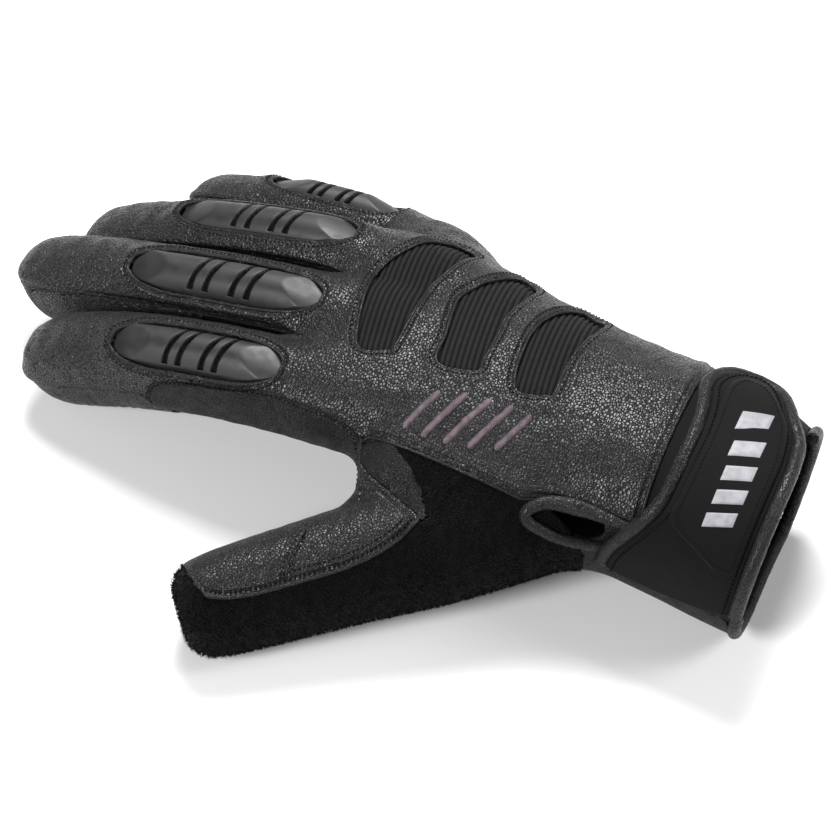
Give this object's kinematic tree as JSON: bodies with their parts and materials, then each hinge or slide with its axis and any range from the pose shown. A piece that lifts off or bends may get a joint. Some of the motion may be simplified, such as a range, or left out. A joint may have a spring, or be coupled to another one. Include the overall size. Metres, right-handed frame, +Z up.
{
  "type": "climbing glove",
  "caption": "Right-hand full-finger climbing glove of black leather, palm down, with moulded knuckle guards, elastic rib panels, a towelling thumb and a wrist tab.",
  "frame": {"origin": "middle of the glove's outline, on the surface that it lies on", "axes": "+X from the fingertips to the wrist, +Y from the thumb to the little finger, +Z up out of the back of the hand"},
  "size_m": [0.2426, 0.1562, 0.0599],
  "materials": {
    "grain_leather": "pebbled grain, satin",
    "soft_leather": "smooth grain, satin",
    "side_cloth": "matt knit",
    "terry_cloth": "looped pile, matt",
    "ribbed_cloth": "ribbed elastic, matt",
    "moulded_rubber": "satin moulding",
    "neoprene": "smooth jersey face, matt",
    "rolled_leather": "rolled edge, satin"
  },
  "bodies": {
    "root": {"back_shell": "grain_leather", "palm_shell": "soft_leather", "index_guard": "soft_leather", "wrist_band": "ribbed_cloth", "thumb_tip": "grain_leather", "thumb_saddle": "grain_leather", "thumb_terry": "terry_cloth", "fourchette_index_middle": "side_cloth", "fourchette_middle_ring": "side_cloth", "fourchette_ring_little": "side_cloth", "rib_panel_1": "ribbed_cloth", "rib_panel_2": "ribbed_cloth", "rib_panel_3": "ribbed_cloth", "knuckle_guard_index": "moulded_rubber", "knuckle_guard_middle": "moulded_rubber", "knuckle_guard_ring": "moulded_rubber", "knuckle_guard_little": "moulded_rubber", "closure_tab": "neoprene", "tab_overlay": "soft_leather", "tab_binding": "rolled_leather", "mouth_binding": "rolled_leather", "vent_binding": "rolled_leather"}
  },
  "joints": []
}
